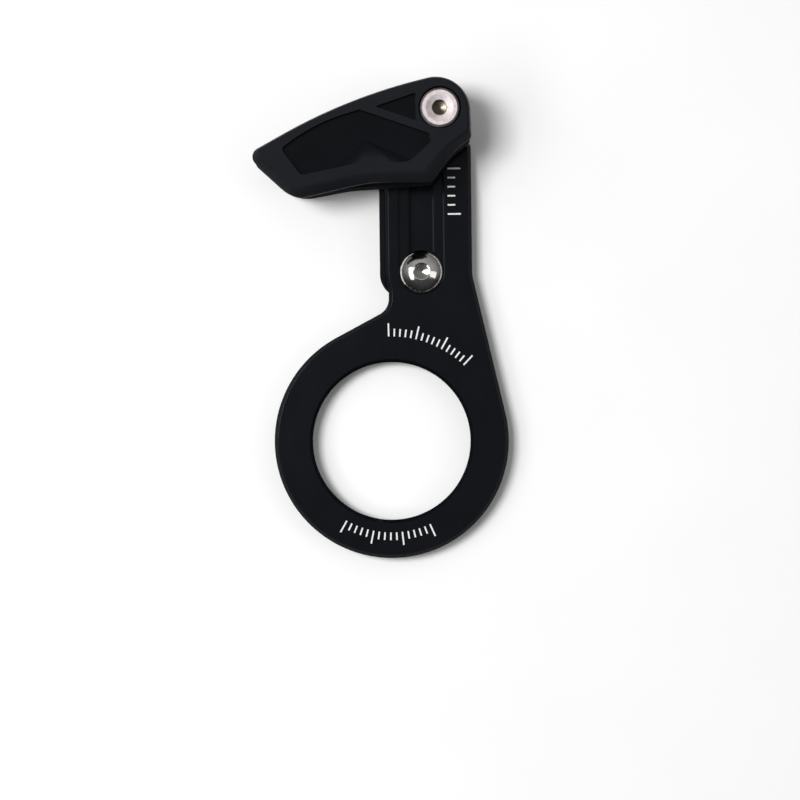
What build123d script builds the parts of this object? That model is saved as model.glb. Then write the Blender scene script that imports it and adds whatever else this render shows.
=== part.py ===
from build123d import *
import os
from math import acos, atan2, cos, hypot, radians, sin, tan

# Bicycle chain guide: a flat plate is clamped under the bottom bracket cup, a slider runs along the plate's
# arm, and a two-part nylon cage on the slider keeps the upper run of the chain on the chainring.
# Millimetres. The origin is the centre of the bottom bracket bore on the plate's rear face, +Y runs along
# the arm and +Z points away from the bicycle frame. Cage sizes are measured from the pivot screw's axis.

# Back plate
plate_thickness = 2.5
bore_diameter = 35.0
ring_diameter = 52.0
arm_length = 66.0
arm_left = 8.0
arm_right = 11.28
arm_corner = 1.0
arm_end_wall = 3.4
bend_height = 36.7
bend_radius = 8.0
flank_angle = 27.9
flank_fillet = 3.9
neck_relief = 0.7
neck_length = 4.14
neck_run = 3.4
neck_radius = 3.0
plate_bevel = 0.8
plate_edge = 0.08
bore_bevel = 0.7

# Slot along the arm
slot_x = 7.0
clamp_height = 37.5
slot_clearance = 0.1
counterbore_depth = 0.7
counterbore_clearance = 0.2
slot_edge = 0.3
slot_edge_depth = 0.14

# Slider
slider_half_width = 9.2
slider_thickness = 3.4
slider_tail = 5.6
slider_corner = 5.1
slider_bevel = 0.5
slide_gap = 0.05
lip_height = 1.6
lip_gap = 0.12
pad_gap = 0.4
pad_left = 14.4
pad_inset = 0.5
pad_corner = 2.0
plate_clearance = 0.3

# Screws
thread_diameter = 5.0
thread_clearance = 0.05
thread_chamfer = 0.6
socket_flats = 3.0
socket_point_angle = 160.0
button_diameter = 9.4
button_height = 2.7
button_rim = 0.9
button_flat = 3.9
button_dome = 5.6
button_dish = 0.2
button_dish_depth = 0.16
button_socket_depth = 1.5
low_head_diameter = 8.5
low_head_height = 3.2
low_head_edge = 0.45
low_head_dish = 1.3
low_head_dish_depth = 0.27
low_head_socket_depth = 2.1
screw_end_gap = 0.3

# Cage
pivot_x = 11.25
pivot_rise = 6.3
inner_thickness = 2.5
chain_gap = 9.5
outer_thickness = 4.2
bevel_height = 1.9
inner_edge = 0.6
inner_edge_depth = 1.1
face_edge = 0.4
pivot_clearance = 0.075
half_gap = 0.1
boss_radius = 5.9
roof_thickness = 2.1
roof_reach = 25.0
head_clearance = 0.35
head_depth = 0.25
pocket_depth = 1.6
pocket_taper = 4.0
ramp_height = 1.9
stop_thickness = 1.5
stop_height = 2.0
stop_gap = 0.15

# Cage outline: each corner's place from the pivot, its radius, and the bevel on the edge that follows it
cage_tip = (-42.1, -9.7)
cage_heel = (-31.65, -19.5)
cage_bend = (-15.4, -15.9)
cage_toe = (-2.0, -15.9)
cage_throat = (2.8, -9.6)
cage_corner = (6.8, -6.45)
cage_end = (6.4, 8.6)
cage_crown = (-19.3, 2.85)
cage_corners = [cage_tip, cage_heel, cage_bend, cage_toe, cage_throat, cage_corner, cage_end, cage_crown]
cage_end_radius = 7.5
cage_radii = [2.0, 5.0, 34.0, 1.2, 14.0, 1.2, cage_end_radius, 120.0]
cage_bevels = [1.6, 1.9, 1.7, 2.2, 1.65, 0.45, 0.5, 0.5]
face_radii = [1.4, 4.0, 34.0, 1.0, 12.0, 1.0, 7.0, 115.0]

# Inner half: its lower edge stands a little below the outer half's between heel and toe
inner_heel = (-31.9, -19.1)
inner_heel_radius = 8.5
inner_bend = (-19.6, -16.9)
inner_bend_radius = 30.0

# Pockets in the outer face: corners from the pivot and their radii
pocket_corners = [(-34.5, -8.6), (-30.2, -14.4), (-17.6, -11.8), (-6.8, -11.8), (-1.9, -7.3), (-2.3, -5.6),
                  (-17.4, -0.3), (-27.5, -3.3)]
pocket_radii = [0.9, 1.2, 14.0, 4.0, 1.0, 1.2, 0.7, 40.0]
window_corners = [(-14.1, 0.3), (-5.15, 3.25), (-5.1, -2.85)]
window_radii = [0.2, 0.35, 0.35]
ramp_foot = [(-23.5, -13.2), (-4.5, -12.1), (-16.2, -6.8)]
ramp_crest = (0.36, 0.72)

# Levels along Z that follow from the sizes above
slider_front = -slide_gap
slider_rear = slider_front - slider_thickness
counterbore_floor = plate_thickness - counterbore_depth
pad_top = plate_thickness + plate_clearance
inner_face = pad_top + inner_thickness
outer_rear = inner_face + chain_gap
outer_face = outer_rear + outer_thickness
low_head_top = outer_face - head_depth
low_head_seat = low_head_top - low_head_height

# Places along X and Y that follow from the sizes above
arm_left_edge = slot_x - arm_left
arm_right_edge = slot_x + arm_right
slider_left_edge = slot_x - slider_half_width
slider_right_edge = slot_x + slider_half_width
slider_bottom = clamp_height - slider_tail
slot_width = thread_diameter + 2 * slot_clearance
counterbore_width = button_diameter + 2 * counterbore_clearance
tapped_diameter = thread_diameter + 2 * thread_clearance
pivot_bore = thread_diameter + 2 * pivot_clearance
travel = arm_length - arm_end_wall - counterbore_width / 2 - clamp_height
pivot_y = arm_length + pivot_rise
pivot = Pos(pivot_x, pivot_y)


def rounded_face(corners, radii):
    """Face inside a closed run of straight edges with rounded corners."""
    return make_face(FilletPolyline(*corners, radius=radii, close=True))


def inset_corners(corners, distances):
    """Corners of the same outline with the edge after each corner moved inwards by its own distance."""
    moved = []
    count = len(corners)
    for index in range(count):
        before, here, after = (Vector(*corners[(index + step) % count]) for step in (-1, 0, 1))
        entering = (here - before).normalized()
        leaving = (after - here).normalized()
        entering_distance = distances[index - 1]
        leaving_distance = distances[index]
        turn = entering.X * leaving.Y - entering.Y * leaving.X
        shift = (leaving * entering_distance - entering * leaving_distance) * (1 / turn)
        moved.append((here.X + shift.X, here.Y + shift.Y))
    return moved


def tangent_point(x, y, radius, side):
    """Point where a line from x, y touches a circle about the origin, on the left (1) or right (-1)."""
    angle = atan2(y, x) + side * acos(radius / hypot(x, y))
    return radius * cos(angle), radius * sin(angle)


def slot_face(width):
    """Round-ended slot whose end centres are the clamp screw's lowest and highest places."""
    middle = Pos(slot_x, clamp_height + travel / 2)
    return middle * SlotCenterToCenter(travel, width, rotation=90)


def back_plate():
    """Ring and arm of one thickness, bevelled along the front, with a counterbored slot."""
    ring_radius = ring_diameter / 2
    flank = radians(flank_angle)
    neck_edge = arm_left_edge + neck_relief
    flank_start = (-ring_radius * sin(flank), ring_radius * cos(flank))
    neck_foot = (neck_edge, flank_start[1] + (neck_edge - flank_start[0]) * tan(flank))
    neck_height = neck_foot[1] + neck_length
    bend = (arm_right_edge, bend_height)
    arm_corners = [
        (0, 0),
        tangent_point(*bend, ring_radius, -1),
        bend,
        (arm_right_edge, arm_length),
        (arm_left_edge, arm_length),
        (arm_left_edge, neck_height + neck_run),
        (neck_edge, neck_height),
        neck_foot,
        flank_start,
    ]
    arm_radii = [0, 0, bend_radius, arm_corner, arm_corner, neck_radius, neck_radius, flank_fillet, 0]
    outline = Circle(ring_radius) + rounded_face(arm_corners, arm_radii)
    plate = extrude(outline, plate_thickness)
    front = plate.faces().sort_by(Axis.Z)[-1]
    plate = chamfer(front.outer_wire().edges(), plate_bevel)
    levels = plate.edges().group_by(Axis.Z)
    bevel_top, bevel_foot = levels[-1], levels[-3]
    plate = fillet(bevel_top + bevel_foot, plate_edge)
    plate -= Cylinder(bore_diameter / 2, 3 * plate_thickness)
    counterbore = Pos(0, 0, counterbore_floor) * extrude(slot_face(counterbore_width), plate_thickness)
    plate -= counterbore
    plate -= Pos(0, 0, -plate_thickness) * extrude(slot_face(slot_width), 3 * plate_thickness)
    front = plate.faces().sort_by(Axis.Z)[-1]
    openings = front.inner_wires().sort_by(SortBy.LENGTH)
    plate = chamfer(openings[-1].edges(), bore_bevel)
    front = plate.faces().sort_by(Axis.Z)[-1]
    openings = front.inner_wires().sort_by(SortBy.LENGTH)
    plate = chamfer(openings[0].edges(), slot_edge, slot_edge_depth, reference=front)
    seat = plate.faces().filter_by(Axis.Z).sort_by(Axis.Z)[1]
    return chamfer(seat.inner_wires()[0].edges(), slot_edge, slot_edge_depth, reference=seat)


def pad_corners():
    """Seat for the cage: straight sides and foot, and the cage's outline, set in a little, round the pivot."""
    inset = inset_corners(cage_corners, [pad_inset] * len(cage_corners))
    corner, end, crown = (Vector(*point) for point in inset[-3:])
    foot = arm_length + pad_gap - pivot_y
    top_slope = (end.Y - crown.Y) / (end.X - crown.X)
    side_slope = (end.X - corner.X) / (end.Y - corner.Y)
    places = [
        (-pad_left, foot),
        (end.X - side_slope * (end.Y - foot), foot),
        (end.X, end.Y),
        (-pad_left, end.Y - top_slope * (end.X + pad_left)),
    ]
    return [(x + pivot_x, y + pivot_y) for x, y in places]


def slider():
    """Carriage behind the arm, with a lip along the arm's left edge and a raised pad above the arm's end."""
    pad = pad_corners()
    pad_foot = pad[0][1]
    tail = [(slider_left_edge, slider_bottom), (slider_right_edge, slider_bottom)]
    shoulders = [(slider_right_edge, pad_foot), *pad[1:], pad[0], (slider_left_edge, pad_foot)]
    end_radius = cage_end_radius - pad_inset
    outline = rounded_face(tail + shoulders, [slider_corner, slider_corner, 0, 0, end_radius, pad_corner, 0, 0])
    body = extrude(outline, slider_thickness)
    body = chamfer(body.faces().sort_by(Axis.Z)[0].outer_wire().edges(), slider_bevel)
    body = Pos(0, 0, slider_rear) * body
    lip_width = arm_left_edge - lip_gap - slider_left_edge
    lip_length = pad_foot - slider_bottom
    lip_strip = Pos(*tail[0]) * Rectangle(lip_width, lip_length, align=(Align.MIN, Align.MIN))
    body += Pos(0, 0, slider_front) * extrude(outline & lip_strip, lip_height + slide_gap)
    seat = rounded_face(pad, [0, 0, end_radius, pad_corner])
    body += Pos(0, 0, slider_front) * extrude(seat, pad_top + slide_gap)
    for x, y in ((slot_x, clamp_height), (pivot_x, pivot_y)):
        body -= Pos(x, y) * Cylinder(tapped_diameter / 2, 10 * slider_thickness)
    return body


def hex_socket(depth, dish_width, dish_depth):
    """Hexagonal recess below the XY plane, countersunk at its mouth, with a shallow cone at its foot."""
    corner_radius = socket_flats / 2 / cos(radians(30))
    recess = extrude(RegularPolygon(corner_radius, 6), -depth)
    point_radius = socket_flats / 2
    point_depth = point_radius / tan(radians(socket_point_angle / 2))
    recess += Pos(0, 0, -depth - point_depth / 2) * Cone(0, point_radius, point_depth)
    dish = Pos(0, 0, -dish_depth / 2) * Cone(point_radius, corner_radius + dish_width, dish_depth)
    return recess + dish


def shank(length):
    """Plain-modelled screw thread that hangs below the XY plane, with a chamfered end."""
    rod = Pos(0, 0, -length / 2) * Cylinder(thread_diameter / 2, length)
    return chamfer(rod.edges().sort_by(Axis.Z)[0], thread_chamfer)


def clamp_screw():
    """Button head screw in the slot's counterbore, threaded into the slider."""
    seat = counterbore_floor + slide_gap
    rim = (button_diameter / 2, button_rim)
    crown = (button_flat / 2, button_height)
    profile = Polyline((0, button_height), (0, 0), (button_diameter / 2, 0), rim)
    profile += RadiusArc(rim, crown, -button_dome)
    profile += Line(crown, (0, button_height))
    head = revolve(Plane.XZ * make_face(profile), Axis.Z)
    head -= Pos(0, 0, button_height) * hex_socket(button_socket_depth, button_dish, button_dish_depth)
    length = seat - slider_rear - screw_end_gap
    return Pos(slot_x, clamp_height, seat) * (head + shank(length))


def pivot_screw():
    """Low head cap screw through both halves of the cage, threaded into the slider's pad."""
    head = Pos(0, 0, low_head_height / 2) * Cylinder(low_head_diameter / 2, low_head_height)
    head = chamfer(head.edges().sort_by(Axis.Z)[-1], low_head_edge)
    socket = hex_socket(low_head_socket_depth, low_head_dish, low_head_dish_depth)
    head -= Pos(0, 0, low_head_height) * socket
    length = low_head_seat - slider_rear - screw_end_gap
    return Pos(pivot_x, pivot_y, low_head_seat) * (head + shank(length))


def inner_guide():
    """Flat half of the cage on the slider's pad, with a stop on its back against the pad's left side."""
    corners = [cage_tip, inner_heel, inner_bend, *cage_corners[3:]]
    radii = [cage_radii[0], inner_heel_radius, inner_bend_radius, *cage_radii[3:]]
    plate = extrude(rounded_face(corners, radii), inner_thickness)
    plate = chamfer(plate.faces().sort_by(Axis.Z)[0].outer_wire().edges(), inner_edge)
    front = plate.faces().sort_by(Axis.Z)[-1]
    plate = chamfer(front.outer_wire().edges(), inner_edge, inner_edge_depth, reference=front)
    plate = pivot * Pos(0, 0, pad_top) * plate
    stop_bottom = arm_length + pad_gap
    stop_right = pivot_x - pad_left - stop_gap
    stop = Box(stop_thickness, pivot_y - stop_bottom, stop_height, align=(Align.MAX, Align.MIN, Align.MAX))
    plate += Pos(stop_right, stop_bottom, pad_top + inner_thickness / 2) * stop
    return plate - pivot * Cylinder(pivot_bore / 2, 10 * outer_face)


def ramp():
    """Wedge below the outer face that rises from the pocket's floor to the lower rim, with sloping sides."""
    left, right, top = (Vector(x, y, -pocket_depth) for x, y in ramp_foot)
    rise = Vector(0, 0, ramp_height)
    left_high, right_high = (left + (right - left) * share + rise for share in ramp_crest)
    outlines = [
        (left, right, top),
        (left_high, right_high, top),
        (left, right, right_high, left_high),
        (left, top, left_high),
        (right, top, right_high),
    ]
    return Solid(Shell([Face(Wire.make_polygon(outline)) for outline in outlines]))


def outer_guide():
    """Outer half of the cage: bevelled plate with two pockets, a boss round the pivot screw and a roof."""
    outline = rounded_face(cage_corners, cage_radii)
    face = rounded_face(inset_corners(cage_corners, cage_bevels), face_radii)
    bevel_foot = outer_face - bevel_height
    body = Pos(0, 0, outer_rear) * extrude(outline, bevel_foot - outer_rear)
    body += loft([Pos(0, 0, bevel_foot) * outline, Pos(0, 0, outer_face) * face], ruled=True)
    body = chamfer(body.faces().sort_by(Axis.Z)[-1].outer_wire().edges(), face_edge)
    pocket = extrude(rounded_face(pocket_corners, pocket_radii), -pocket_depth, taper=pocket_taper)
    window = extrude(rounded_face(window_corners, window_radii), -pocket_depth, taper=pocket_taper)
    body -= Pos(0, 0, outer_face) * (pocket - ramp() + window)
    spacer_foot = inner_face + half_gap
    spacer_height = outer_rear - spacer_foot
    roof = outline - Pos(0, -roof_thickness) * outline
    roof &= Pos(-roof_reach) * Rectangle(roof_reach, 2 * cage_end[1], align=(Align.MIN, Align.CENTER))
    body += Pos(0, 0, spacer_foot) * extrude(roof + Circle(boss_radius), spacer_height)
    body -= Cylinder(pivot_bore / 2, 10 * outer_face)
    head_hole = Cylinder(
        low_head_diameter / 2 + head_clearance,
        outer_thickness,
        align=(Align.CENTER, Align.CENTER, Align.MIN),
    )
    body -= Pos(0, 0, low_head_seat) * head_hole
    return pivot * body


os.makedirs("parts", exist_ok=True)
for build in (back_plate, slider, clamp_screw, pivot_screw, inner_guide, outer_guide):
    export_step(build(), f"parts/{build.__name__}.step")
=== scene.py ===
from math import pi, radians
import bpy
from mathutils import Matrix, Vector


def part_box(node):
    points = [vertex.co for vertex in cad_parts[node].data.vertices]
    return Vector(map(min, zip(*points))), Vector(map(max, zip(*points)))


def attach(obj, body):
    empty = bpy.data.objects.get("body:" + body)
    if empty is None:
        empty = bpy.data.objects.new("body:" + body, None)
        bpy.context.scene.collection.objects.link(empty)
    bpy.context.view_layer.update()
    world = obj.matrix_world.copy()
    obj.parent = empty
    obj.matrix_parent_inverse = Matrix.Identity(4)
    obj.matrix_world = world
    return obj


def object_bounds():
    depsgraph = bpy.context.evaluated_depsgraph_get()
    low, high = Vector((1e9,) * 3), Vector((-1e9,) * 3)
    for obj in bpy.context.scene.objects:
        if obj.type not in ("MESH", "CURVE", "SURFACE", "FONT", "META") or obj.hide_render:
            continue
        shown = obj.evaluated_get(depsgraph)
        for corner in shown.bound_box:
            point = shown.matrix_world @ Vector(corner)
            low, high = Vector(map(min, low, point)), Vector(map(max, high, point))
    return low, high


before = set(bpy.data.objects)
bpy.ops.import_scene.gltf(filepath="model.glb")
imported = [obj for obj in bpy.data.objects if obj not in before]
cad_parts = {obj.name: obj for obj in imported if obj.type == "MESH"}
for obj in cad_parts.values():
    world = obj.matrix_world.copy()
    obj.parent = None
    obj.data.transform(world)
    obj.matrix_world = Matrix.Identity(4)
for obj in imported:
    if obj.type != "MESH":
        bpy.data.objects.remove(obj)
cad_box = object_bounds()

# Back plate: ring and arm milled in one piece from 2.5 mm aluminium plate, bead blasted and anodised black.
# The ring is clamped under the bottom bracket cup, and the counterbored slot sets the cage's height.
mm = 0.001


class Wire:
    """An output socket in a material: arithmetic on wires adds Math nodes, and node() adds any other node."""

    def __init__(self, tree, socket=None):
        self.tree = tree
        self.socket = socket

    def node(self, kind, sockets=None, output=0, stops=None, **settings):
        made = self.tree.nodes.new(kind)
        for name, value in settings.items():
            setattr(made, name, value)
        if stops:
            ramp = made.color_ramp.elements
            for element, (position, colour) in zip(ramp, stops):
                element.position = position
                element.color = (*colour, 1)
        for name, value in (sockets or {}).items():
            self.feed(made.inputs[name], value)
        return Wire(self.tree, made.outputs[output])

    def feed(self, target, value):
        if isinstance(value, Wire):
            self.tree.links.new(value.socket, target)
        else:
            target.default_value = value

    def maths(self, operation, first, second=0.0):
        return self.node("ShaderNodeMath", {0: first, 1: second}, operation=operation)

    def __add__(self, other):
        return self.maths("ADD", self, other)

    def __sub__(self, other):
        return self.maths("SUBTRACT", self, other)

    def __rsub__(self, other):
        return self.maths("SUBTRACT", other, self)

    def __mul__(self, other):
        return self.maths("MULTIPLY", self, other)

    __radd__ = __add__
    __rmul__ = __mul__


def new_finish(name):
    """A material, its Principled shader's sockets, and a wire with the piece's own coordinates in metres."""
    material = bpy.data.materials.new(name)
    material.use_nodes = True
    shader = material.node_tree.nodes["Principled BSDF"].inputs
    place = Wire(material.node_tree).node("ShaderNodeTexCoord", output="Object")
    return material, shader, place


def grain(place, size, detail=2.0, stretch=(1, 1, 1)):
    """Soft random grain from 0 to 1, with spots about one size across."""
    stretched = place.node("ShaderNodeMapping", {"Vector": place, "Scale": stretch})
    return place.node("ShaderNodeTexNoise", {"Vector": stretched, "Scale": 1 / size, "Detail": detail})


def anodise(node):
    """Black dye over a bead-blasted face: satin and a little cloudy, with faint streaks along the arm."""
    deep_black = (0.0026, 0.0034, 0.0051)
    grey_black = (0.0040, 0.0050, 0.0071)
    blast_depth = 0.01 * mm
    material, shader, place = new_finish(node + "_anodising")
    blast = grain(place, size=0.3 * mm)
    cloud = grain(place, size=9 * mm, detail=4.0)
    streak = grain(place, size=0.6 * mm, stretch=(1, 0.04, 1))
    tone = 0.5 * cloud + 0.3 * streak + 0.2 * blast
    black = place.node("ShaderNodeValToRGB", {"Fac": tone}, stops=[(0.35, deep_black), (0.65, grey_black)])
    relief = place.node("ShaderNodeBump", {"Height": blast, "Strength": 0.1, "Distance": blast_depth})
    place.feed(shader["Base Color"], black)
    place.feed(shader["Roughness"], 0.10 + 0.03 * cloud + 0.02 * streak)
    place.feed(shader["Normal"], relief)
    shader["Specular IOR Level"].default_value = 0.12
    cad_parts[node].material_slots[0].material = material


anodise("back_plate")

# Printed scales: white ink pad-printed on the plate's face after anodising. The ticks on the ring help to set
# the guide's angle about the bottom bracket, and those beside the slot its height, one tick for each tooth.
plate_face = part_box("back_plate")[1].z
ink_thickness = 0.02 * mm
ink_narrowing = (0.88, 0.97, 1)
tick_width = 0.36 * mm
short_tick = 1.7 * mm
long_tick = 2.9 * mm
long_tick_every = 5
tooth_pitch = 2.02 * mm


def white_ink():
    """White ink of slightly uneven cover, so that the black shows through a little in specks."""
    thin_white = (0.50, 0.51, 0.53)
    full_white = (0.82, 0.82, 0.81)
    material, shader, place = new_finish("white_ink")
    cover = grain(place, size=0.25 * mm, detail=3.0)
    white = place.node("ShaderNodeValToRGB", {"Fac": cover}, stops=[(0.28, thin_white), (0.46, full_white)])
    place.feed(shader["Base Color"], white)
    place.feed(shader["Roughness"], 0.5 + 0.2 * cover)
    return material


def print_tick(length):
    """One tick along Y with its foot at the origin: a flat pad of ink, a little narrower on top."""
    bpy.ops.object.select_all(action="DESELECT")
    bpy.ops.mesh.primitive_plane_add(size=1)
    bpy.ops.object.mode_set(mode="EDIT")
    bpy.ops.transform.resize(value=(tick_width, length, 1))
    bpy.ops.transform.translate(value=(0, length / 2, 0))
    bpy.ops.mesh.extrude_region_move(TRANSFORM_OT_translate={"value": (0, 0, ink_thickness)})
    bpy.ops.transform.resize(value=ink_narrowing)
    bpy.ops.mesh.select_all(action="SELECT")
    bpy.ops.mesh.normals_make_consistent(inside=False)
    bpy.ops.object.mode_set(mode="OBJECT")
    return bpy.context.object


def print_scale(name, ink, places):
    """Short and long ticks, each put at its own place on the plate's face, joined into one print."""
    ticks = []
    for index, place in enumerate(places):
        tick = print_tick(short_tick if index % long_tick_every else long_tick)
        tick.matrix_world = Matrix.Translation((0, 0, plate_face)) @ place
        ticks.append(tick)
    bpy.ops.object.select_all(action="DESELECT")
    for tick in ticks:
        tick.select_set(True)
    bpy.context.view_layer.objects.active = ticks[0]
    bpy.ops.object.join()
    bpy.ops.object.transform_apply()
    scale = bpy.context.object
    scale.name = name
    scale.data.materials.append(ink)
    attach(scale, "plate")


def round_bore(foot_radius, start, step, count):
    """Places of radial ticks round the bore, clockwise from the arm's direction in degrees."""
    foot = Matrix.Translation((0, foot_radius, 0))
    return [Matrix.Rotation(-radians(start + step * index), 4, "Z") @ foot for index in range(count)]


def beside_slot(foot, pitch, count):
    """Places of level ticks that point to the plate's right edge."""
    turn = Matrix.Rotation(-pi / 2, 4, "Z")
    return [Matrix.Translation(foot + Vector((0, pitch * index, 0))) @ turn for index in range(count)]


ink = white_ink()
upper_places = round_bore(foot_radius=23.2 * mm, start=-1, step=3, count=16)
lower_places = round_bore(foot_radius=20.3 * mm, start=156, step=3.6, count=16)
height_places = beside_slot(foot=Vector((13.0, 50.2, 0)) * mm, pitch=tooth_pitch, count=6)
print_scale("upper_angle_scale", ink, upper_places)
print_scale("lower_angle_scale", ink, lower_places)
print_scale("height_scale", ink, height_places)

# Slider: aluminium carriage behind the arm, milled and anodised with the plate. Both screws thread into it.
# A lip along its left side runs on the arm's edge, and the pad above the arm's end carries the cage.
anodise("slider")

# Clamp screw: M5 button head screw of stainless steel, polished by tumbling, so its dome mirrors the room
# with hairline scratches. It clamps the slider to the back of the arm.


def from_axis(place, node):
    """Distance from the axis of a screw."""
    low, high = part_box(node)
    axis = (low + high) / 2
    shift = {"Vector": place, "Location": (-axis.x, -axis.y, 0), "Scale": (1, 1, 0)}
    centred = place.node("ShaderNodeMapping", shift)
    return place.node("ShaderNodeVectorMath", {0: centred}, output="Value", operation="LENGTH")


def outside_shaded_socket(radius):
    """Mask that is 0 in a screw's socket and round its mouth, where shade is painted, and 1 outside."""
    socket_mouth = 1.62 * mm
    shade_edge = 1.80 * mm
    outside = {"Value": radius, "From Min": socket_mouth, "From Max": shade_edge}
    return radius.node("ShaderNodeMapRange", outside)


def shade_in_socket(steel, outside_socket, socket_shade):
    """The steel's colour, darkened and tinted in the socket and round its mouth as painted shade."""
    no_tint = (1, 1, 1)
    tint = steel.node("ShaderNodeValToRGB", {"Fac": outside_socket}, stops=[(0, socket_shade), (1, no_tint)])
    return steel.node("ShaderNodeVectorMath", {0: steel, 1: tint}, operation="MULTIPLY")


def polished_steel(node):
    """Tumbled stainless steel: mirror bright, with fine scratches, duller patches and painted shade in its
    socket.
    """
    # Painted shade: the socket's inside and its mouth are darkened to this tint.
    socket_shade = (0.40, 0.39, 0.36)
    warm_grey = (0.60, 0.585, 0.565)
    bright_steel = (0.75, 0.74, 0.725)
    scratch_depth = 0.004 * mm
    material, shader, place = new_finish(node + "_steel")
    scratch = grain(place, size=0.08 * mm, detail=3.0, stretch=(1, 0.15, 1))
    patch = grain(place, size=1.6 * mm, detail=3.0)
    steel = place.node("ShaderNodeValToRGB", {"Fac": patch}, stops=[(0.3, warm_grey), (0.6, bright_steel)])
    relief = place.node("ShaderNodeBump", {"Height": scratch, "Strength": 0.08, "Distance": scratch_depth})
    outside_socket = outside_shaded_socket(from_axis(place, node))
    place.feed(shader["Base Color"], shade_in_socket(steel, outside_socket, socket_shade))
    place.feed(shader["Roughness"], 0.07 + 0.10 * patch)
    place.feed(shader["Normal"], relief)
    shader["Metallic"].default_value = 1.0
    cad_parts[node].material_slots[0].material = material


polished_steel("clamp_screw")

# Inner half of the cage: a flat plate moulded in black nylon, with the fine matt grain of an eroded mould.
# It sits on the slider's pad, and a stop on its back keeps it from turning.
grain_fade = 1.6 * mm


def nylon(node, smooth_level):
    """Moulded black nylon: matt grain, which on level faces fades towards one smooth level of the mould."""
    deep_black = (0.0021, 0.0025, 0.0037)
    grey_black = (0.0089, 0.0098, 0.0131)
    grain_on_walls = 0.6
    pebble_depth = 0.02 * mm
    material, shader, place = new_finish(node + "_nylon")
    height = place.node("ShaderNodeSeparateXYZ", {"Vector": place}, output="Z")
    away = place.maths("ABSOLUTE", height - smooth_level)
    rise = place.node("ShaderNodeMapRange", {"Value": away, "From Max": grain_fade})
    near_level = {"Value": away, "From Min": 0.08 * mm, "From Max": 0.02 * mm}
    floor = place.node("ShaderNodeMapRange", near_level)
    facing = place.node("ShaderNodeTexCoord", output="Normal")
    upward = place.node("ShaderNodeSeparateXYZ", {"Vector": facing}, output="Z")
    steep = place.node("ShaderNodeMapRange", {"Value": upward, "From Min": 0.85, "From Max": 0.75})
    least = grain_on_walls * steep
    grained = (least + (1 - least) * rise * rise) * (1 - floor * (1 - steep))
    pebble = grain(place, size=0.35 * mm, detail=3.0)
    flow = grain(place, size=7 * mm, detail=3.0, stretch=(0.5, 1, 1))
    tone = 0.3 * flow + 0.2 * pebble + 0.5 * grained
    black = place.node("ShaderNodeValToRGB", {"Fac": tone}, stops=[(0.2, deep_black), (0.8, grey_black)])
    bumps = {"Height": pebble * grained, "Strength": 0.3, "Distance": pebble_depth}
    relief = place.node("ShaderNodeBump", bumps)
    place.feed(shader["Base Color"], black)
    place.feed(shader["Roughness"], 0.05 + 0.70 * grained + 0.02 * pebble + 0.04 * flow)
    place.feed(shader["Normal"], relief)
    shader["Specular IOR Level"].default_value = 0.12
    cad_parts[node].material_slots[0].material = material


nylon("inner_guide", smooth_level=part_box("inner_guide")[0].z)

# Outer half of the cage: moulded in the same nylon, with two tapered pockets that keep its walls even.
# The mould is smooth at the pockets' floors. The boss and roof behind hold this half off the inner one,
# and it swings up on the pivot screw to let the chain in.
pocket_depth = 1.6 * mm
nylon("outer_guide", smooth_level=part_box("outer_guide")[1].z - pocket_depth)

# Pivot screw: low head M5 cap screw of stainless steel, turned and blasted, so that it looks almost white.
# It goes through both halves of the cage into the slider's pad, and the outer half turns on it.


def satin_steel(node):
    """Turned and blasted stainless steel: pale and satin, with faint lathe rings and a glossy socket darkened
    by painted shade.
    """
    ring_pitch = 0.16 * mm
    # Painted shade: the socket's inside and its mouth are darkened to this warm tint.
    socket_shade = (0.165, 0.157, 0.125)
    rose_grey = (0.42, 0.352, 0.365)
    pale_steel = (0.58, 0.54, 0.535)
    blast_depth = 0.006 * mm
    material, shader, place = new_finish(node + "_steel")
    radius = from_axis(place, node)
    outside_socket = outside_shaded_socket(radius)
    rings = place.maths("SINE", radius * (2 * pi / ring_pitch))
    blast = grain(place, size=0.2 * mm, detail=3.0)
    patch = grain(place, size=0.9 * mm, detail=3.0)
    tone = 0.6 * patch + 0.4 * blast
    steel = place.node("ShaderNodeValToRGB", {"Fac": tone}, stops=[(0.35, rose_grey), (0.6, pale_steel)])
    bumps = {"Height": 0.3 * rings + blast, "Strength": 0.3, "Distance": blast_depth}
    relief = place.node("ShaderNodeBump", bumps)
    place.feed(shader["Base Color"], shade_in_socket(steel, outside_socket, socket_shade))
    place.feed(shader["Roughness"], 0.21 + 0.32 * outside_socket + 0.12 * patch)
    place.feed(shader["Normal"], relief)
    shader["Metallic"].default_value = 1.0
    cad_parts[node].material_slots[0].material = material


satin_steel("pivot_screw")

# Table: a plain white top that the guide lies on, face up, on the back of its slider.
# It is matt, so the shadows on it are soft and it mirrors nothing.
table_size = 6.0
table_top = cad_box[0].z
paper_white = (0.96, 0.96, 0.96)
clear_white = (0.98, 0.98, 0.98)
bpy.ops.object.select_all(action="DESELECT")
bpy.ops.mesh.primitive_plane_add(size=table_size, location=(0, 0, table_top))
bpy.ops.object.transform_apply()
table = bpy.context.object
table.name = "table"
table_finish, table_shader, table_place = new_finish("table_white")
mottle = grain(table_place, size=40 * mm)
table_stops = [(0.3, paper_white), (0.7, clear_white)]
table_tone = table_place.node("ShaderNodeValToRGB", {"Fac": mottle}, stops=table_stops)
table_place.feed(table_shader["Base Color"], table_tone)
table_shader["Roughness"].default_value = 0.8
table_shader["Specular IOR Level"].default_value = 0.1
table.data.materials.append(table_finish)

# Light: three soft boxes in a dim room. The high one at the upper left gives most of the light, and the soft
# shadows to the right. The low ones at the left and right put the bright patches on the clamp screw's dome.
# The room is dark towards the near side, behind the ring, and brighter overhead.
aim = Vector((0, 0.03, 0))


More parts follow.
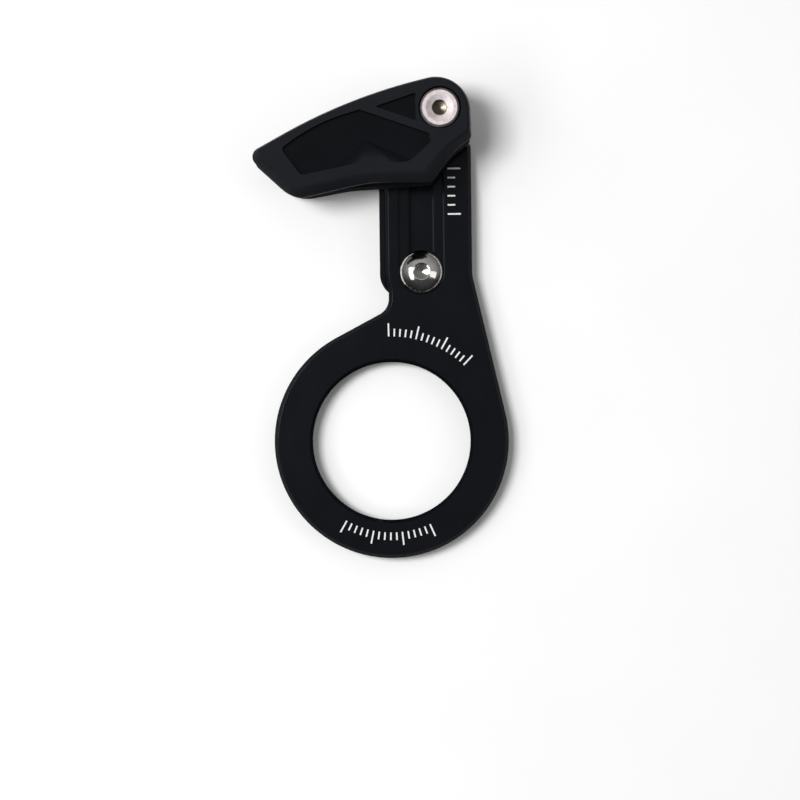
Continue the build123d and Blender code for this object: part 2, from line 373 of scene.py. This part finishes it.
def soft_box(name, place, width, height, power):
    """A soft box that faces the guide, with its width level."""
    lamp = bpy.data.lights.new(name, "AREA")
    lamp.shape = "RECTANGLE"
    lamp.size = width
    lamp.size_y = height
    lamp.energy = power
    box = bpy.data.objects.new(name, lamp)
    box.location = place
    box.rotation_euler = (aim - Vector(place)).to_track_quat("-Z", "Y").to_euler()
    bpy.context.scene.collection.objects.link(box)


soft_box("high_soft_box", place=(-0.35, 0.12, 0.98), width=0.24, height=0.36, power=7.5)
soft_box("left_soft_box", place=(-0.56, -0.05, 0.66), width=0.70, height=0.25, power=1.5)
soft_box("right_soft_box", place=(0.60, -0.10, 0.51), width=0.29, height=0.40, power=0.45)
room = bpy.data.worlds.new("room")
room.use_nodes = True
background = room.node_tree.nodes["Background"].inputs
direction = Wire(room.node_tree).node("ShaderNodeTexCoord", output="Generated")
far = direction.node("ShaderNodeSeparateXYZ", {"Vector": direction}, output="Y")
overhead = direction.node("ShaderNodeSeparateXYZ", {"Vector": direction}, output="Z")
ceiling_range = {"Value": overhead, "To Min": 0.1, "To Max": 0.5}
wall_range = {"Value": far, "From Min": -0.5, "From Max": 0.15, "To Min": 0.15, "To Max": 1.0}
ceiling = direction.node("ShaderNodeMapRange", ceiling_range)
walls = direction.node("ShaderNodeMapRange", wall_range)
direction.feed(background["Strength"], ceiling * walls)
direction.feed(background["Color"], (1, 1, 1, 1))
bpy.context.scene.world = room

# Camera: straight above the table with a long lens, so that hardly any side walls show.
# It is turned by less than a degree, because the guide lies a little askew in the view.
view_width = 177.44 * mm
view_distance = 650 * mm
view_centre = Vector((1.93, 9.07)) * mm
view_turn = radians(-0.66)
camera = bpy.data.cameras.new("camera")
camera.sensor_width = 36
camera.lens = camera.sensor_width * view_distance / view_width
viewer = bpy.data.objects.new("camera", camera)
viewer.location = (view_centre.x, view_centre.y, plate_face + view_distance)
viewer.rotation_euler = (0, 0, view_turn)
bpy.context.scene.collection.objects.link(viewer)
bpy.context.scene.camera = viewer
bpy.context.scene.view_settings.view_transform = "Standard"
